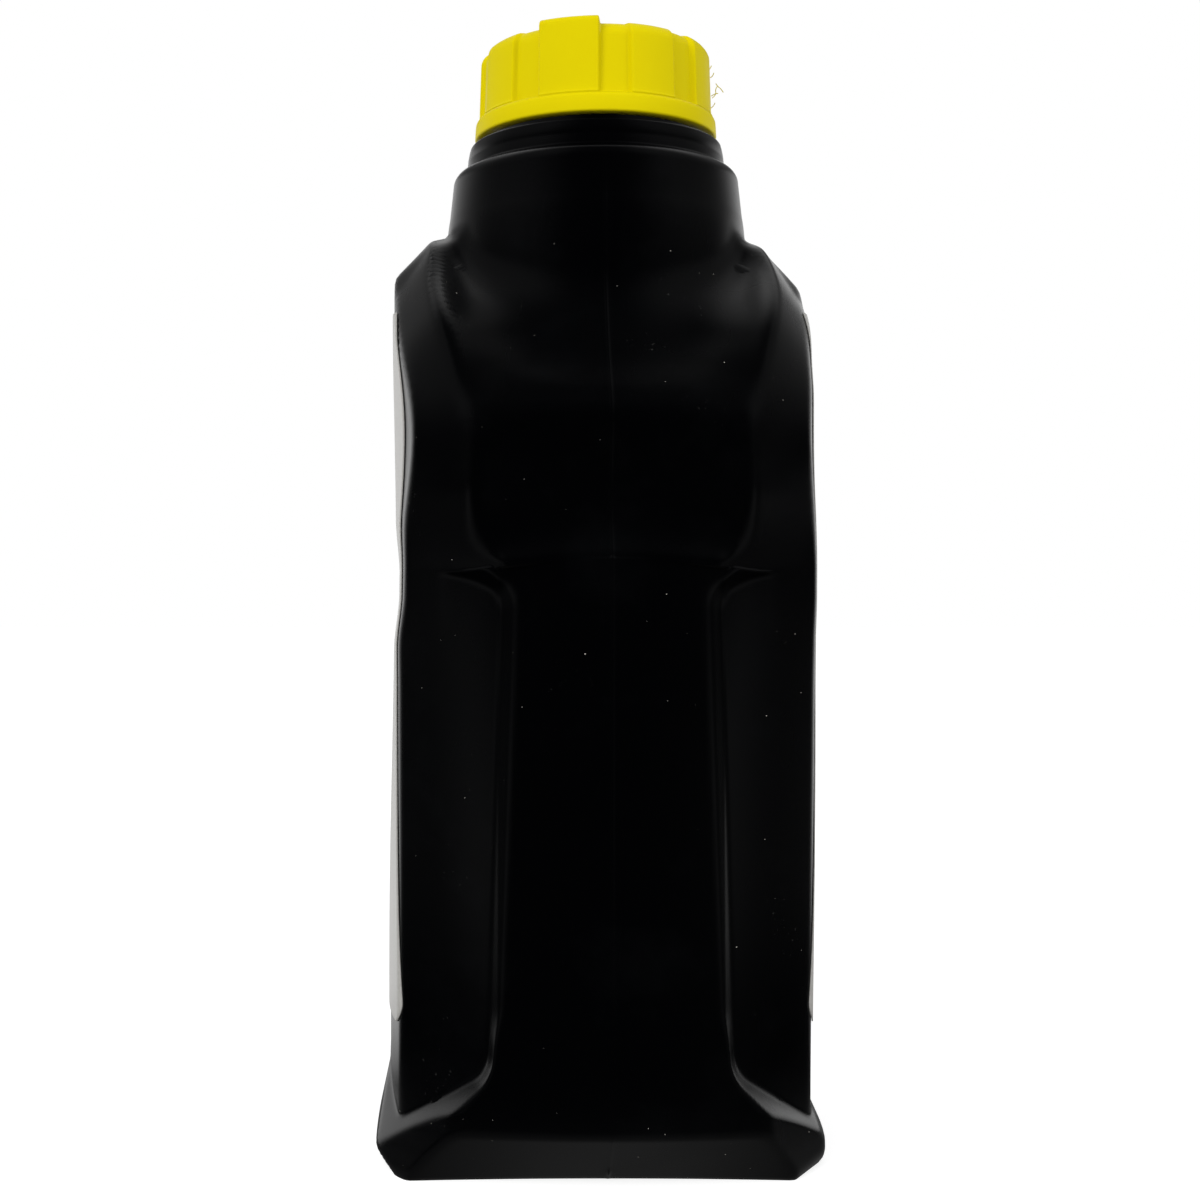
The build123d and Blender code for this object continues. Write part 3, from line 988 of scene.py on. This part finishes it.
# each strand's way in millimetres, from where it leaves the edge
strandPaths = [
    [(24.0, -1.2, 211.2), (24.9, -1.0, 211.9), (24.6, -1.4, 213.0), (25.1, -1.2, 213.6)],
    [(24.0, 0.2, 212.0), (24.8, 0.3, 212.6), (25.4, 0.1, 212.5)],
    [(25.0, 0.6, 214.7), (25.4, 0.4, 214.0), (26.1, 0.6, 213.6), (26.5, 0.3, 212.8)],
    [(23.2, 0.8, 217.2), (24.0, 1.0, 217.9), (24.1, 0.8, 218.5)],
    [(23.7, -0.4, 215.6), (24.3, -0.5, 215.9), (24.4, -0.8, 216.5)],
    [(24.0, 1.4, 209.8), (24.7, 1.5, 210.2), (24.9, 1.2, 210.9)],
]


def makeStrands():
    curve = bpy.data.curves.new("strands", "CURVE")
    curve.dimensions = "3D"
    curve.bevel_depth = strandRadius * mm
    curve.bevel_resolution = 1
    curve.use_fill_caps = True
    for path in strandPaths:
        spline = curve.splines.new("NURBS")
        spline.points.add(len(path) - 1)
        for point, place in zip(spline.points, path):
            point.co = (place[0] * mm, place[1] * mm, place[2] * mm, 1)
            point.radius = 1.0
        spline.order_u = 3
        spline.use_endpoint_u = True
        spline.resolution_u = 6
    holder = addObject("strands_holder", curve)
    bpy.context.view_layer.update()
    mesh = bpy.data.meshes.new_from_object(holder.evaluated_get(bpy.context.evaluated_depsgraph_get()))
    bpy.data.objects.remove(holder)
    mesh.materials.clear()
    mesh.materials.append(yellowPlastic)
    return addObject("cap_frayed_strands", mesh)


capStrands = makeStrands()
print("strands:", len(capStrands.data.polygons), "faces")


# What moves with what

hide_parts("bottle_body")
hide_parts("screw_cap")
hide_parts("front_label")
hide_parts("back_label")
for piece in (bottleBody, frontLabel, backLabel, neckThread, dustSpecks, footSpecks):
    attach(piece, "bottle")
for piece in (screwCap, capThread, capStrands):
    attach(piece, "cap")
    # the black plastic's gloss doesn't pick up the yellow
    piece.visible_glossy = False


# Camera, floor and light

studio = {
    "cameraPlace": (-0.0238, -0.3719, 0.1068),
    "lens": 54.0,
    "shift": (0.10, 0.004167),
    "daylight": 0.60,
    # how bright the room is in the bottle's gloss: round the camera, beside it and in the side panels
    "front": 0.007,
    "beside": 0.03,
    "panels": 0.12,
    # where each of these begins and ends, by direction
    "frontFade": (-0.92, -0.5),
    "besideFade": (-0.35, -0.05),
    "panelFade": (0.18, 0.38),
    "backdropFade": (0.17, 0.75),
    "backdropPower": 1.7,
    "backdropEnds": (0.86, 0.97),
    # a dimmed band across the backdrop: how far aside, how much, from and up to which height
    "dimAside": (0.15, 0.34),
    "dimAmount": 0.86,
    "dimFrom": (0.22, 0.36),
    "dimUpTo": (0.62, 0.85),
    # the floor's own light and colour, then how it shows in the gloss
    "floorHalf": 8.0,
    "floorGlow": 0.72,
    "floorColour": 0.55,
    "floorMirror": 0.125,
    "floorFade": (0.05, 0.10),
    "floorBehind": (0.0, 0.12),
    "floorBehindTurn": (0.2, 0.6),
    "floorAside": 0.18,
    "floorAsideTurn": (0.35, 0.78),
    "floorAsideEnd": (0.80, 0.95),
    "floorAsideStart": (0.15, 0.3),
    # lamps by name, place in metres and power, all of one size and aimed at the bottle's middle
    "lamps": [("left_panel", (-1.0, -1.1, 0.9), 16.0), ("right_panel", (1.2, -0.9, 0.7), 9.0)],
    "lampSize": 0.8,
    "lampAim": (0, 0, 0.11),
}


def makeCamera():
    camera = bpy.data.cameras.new("photo_view")
    camera.lens = studio["lens"]
    camera.sensor_width = 36.0
    camera.shift_x, camera.shift_y = studio["shift"]
    camera.clip_start = 0.01
    holder = addObject("photo_view", camera)
    holder.location = studio["cameraPlace"]
    holder.rotation_euler = (math.radians(90), 0, 0)
    bpy.context.scene.camera = holder


def makeFloor():
    mesh = bpy.data.meshes.new("floor")
    reach = studio["floorHalf"]
    mesh.from_pydata([(-reach, -reach, 0), (reach, -reach, 0), (reach, reach, 0), (-reach, reach, 0)], [],
                     [(0, 1, 2, 3)])
    floor = addObject("floor", mesh)
    material = bpy.data.materials.new("white_floor")
    material.use_nodes = True
    tree = material.node_tree
    tree.nodes.clear()
    path = tree.nodes.new("ShaderNodeLightPath").outputs
    seen = calculate(tree, "MAXIMUM", path["Is Camera Ray"], path["Is Transmission Ray"])
    matt = addNode(tree, "ShaderNodeBsdfDiffuse", {"Color": (*[studio["floorColour"]] * 3, 1)})
    glowing = calculate(tree, "MULTIPLY", seen, studio["floorGlow"])
    glow = addNode(tree, "ShaderNodeEmission", {"Strength": glowing})
    both = addNode(tree, "ShaderNodeAddShader", {0: matt.outputs[0], 1: glow.outputs[0]})
    # in the gloss the white board is bright near the bottle and behind it, dimmer to both sides,
    # and dark towards the camera
    place = tree.nodes.new("ShaderNodeTexCoord").outputs["Object"]
    far = addNode(tree, "ShaderNodeVectorMath", {0: place}, operation="LENGTH").outputs["Value"]
    near = remap(tree, far, *studio["floorFade"], studio["floorMirror"], studio["front"])
    apart = addNode(tree, "ShaderNodeSeparateXYZ", {"Vector": place}).outputs
    turnedBack = calculate(tree, "DIVIDE", apart["Y"], far)
    back = calculate(tree, "MULTIPLY", remap(tree, apart["Y"], *studio["floorBehind"], 0.0, 1.0),
                     remap(tree, turnedBack, *studio["floorBehindTurn"], 0.0, 1.0))
    turned = calculate(tree, "DIVIDE", calculate(tree, "ABSOLUTE", apart["X"]), far)
    aside = calculate(tree, "MULTIPLY",
                      remap(tree, turned, *studio["floorAsideTurn"], 0.0, studio["floorAside"]),
                      remap(tree, turned, *studio["floorAsideEnd"], 1.0, 0.25))
    aside = calculate(tree, "MULTIPLY", aside, remap(tree, far, *studio["floorAsideStart"], 0.0, 1.0))
    mirrored = calculate(tree, "ADD", calculate(tree, "MAXIMUM", near, back), aside)
    mirror = addNode(tree, "ShaderNodeEmission", {"Strength": mirrored})
    shown = addNode(tree, "ShaderNodeMixShader", {0: path["Is Glossy Ray"], 1: both.outputs[0],
                                                  2: mirror.outputs[0]})
    addNode(tree, "ShaderNodeOutputMaterial", {"Surface": shown.outputs[0]})
    mesh.materials.append(material)


def makeWorld():
    # white to the eye; in reflections the studio is bright behind the bottle and dark round the camera
    world = bpy.data.worlds.new("studio")
    bpy.context.scene.world = world
    world.use_nodes = True
    world.cycles.sampling_method = "NONE"
    tree = world.node_tree
    tree.nodes.clear()
    path = tree.nodes.new("ShaderNodeLightPath").outputs
    direction = tree.nodes.new("ShaderNodeTexCoord").outputs["Generated"]
    apart = addNode(tree, "ShaderNodeSeparateXYZ", {"Vector": direction}).outputs
    ahead = calculate(tree, "MINIMUM",
                      remap(tree, apart["Y"], *studio["frontFade"], studio["front"], studio["beside"]),
                      remap(tree, apart["Y"], *studio["besideFade"], studio["beside"],
                            studio["beside"] * 0.45))
    lifted = calculate(tree, "MULTIPLY", calculate(tree, "MAXIMUM", apart["Z"], 0.0), 0.22)
    back = remap(tree, calculate(tree, "ADD", apart["Y"], lifted), *studio["backdropFade"], 0.0, 1.0)
    # the backdrop ends at both sides, a band of it is dimmed, and two dim panels stand beside it
    aside = calculate(tree, "ABSOLUTE", apart["X"])
    dimmed = calculate(tree, "MULTIPLY", remap(tree, aside, *studio["dimAside"], 0.0, studio["dimAmount"]),
                       calculate(tree, "MINIMUM", remap(tree, apart["Z"], *studio["dimFrom"], 0.0, 1.0),
                                 remap(tree, apart["Z"], *studio["dimUpTo"], 1.0, 0.0)))
    sides = calculate(tree, "MULTIPLY", calculate(tree, "SUBTRACT", 1.0, dimmed),
                      remap(tree, aside, *studio["backdropEnds"], 1.0, 0.15))
    back = calculate(tree, "MULTIPLY", calculate(tree, "POWER", back, studio["backdropPower"]), sides)
    panels = remap(tree, calculate(tree, "MULTIPLY", aside, apart["Z"]), *studio["panelFade"],
                   0.0, studio["panels"])
    bright = calculate(tree, "ADD", ahead, calculate(tree, "ADD", back, panels))
    seen = calculate(tree, "MAXIMUM", path["Is Camera Ray"], path["Is Transmission Ray"])
    mirrored = calculate(tree, "MULTIPLY", path["Is Glossy Ray"], bright)
    lit = calculate(tree, "MULTIPLY", path["Is Diffuse Ray"], studio["daylight"])
    strength = calculate(tree, "ADD", calculate(tree, "MAXIMUM", seen, mirrored), lit)
    sky = addNode(tree, "ShaderNodeBackground", {"Color": (1, 1, 1, 1), "Strength": strength})
    addNode(tree, "ShaderNodeOutputWorld", {"Surface": sky.outputs[0]})


def makeLamp(name, place, power):
    # a soft panel that lights but isn't seen, not in the gloss either
    lamp = bpy.data.lights.new(name, "AREA")
    lamp.shape = "RECTANGLE"
    lamp.size = lamp.size_y = studio["lampSize"]
    lamp.energy = power
    holder = addObject(name, lamp)
    holder.location = place
    aim = Vector(studio["lampAim"]) - Vector(place)
    holder.rotation_euler = aim.to_track_quat("-Z", "Y").to_euler()
    holder.visible_glossy = False
    holder.visible_camera = False


makeCamera()
makeFloor()
makeWorld()
for lampName, lampPlace, lampPower in studio["lamps"]:
    makeLamp(lampName, lampPlace, lampPower)
bpy.context.scene.view_settings.view_transform = "Standard"

print("scene ready")
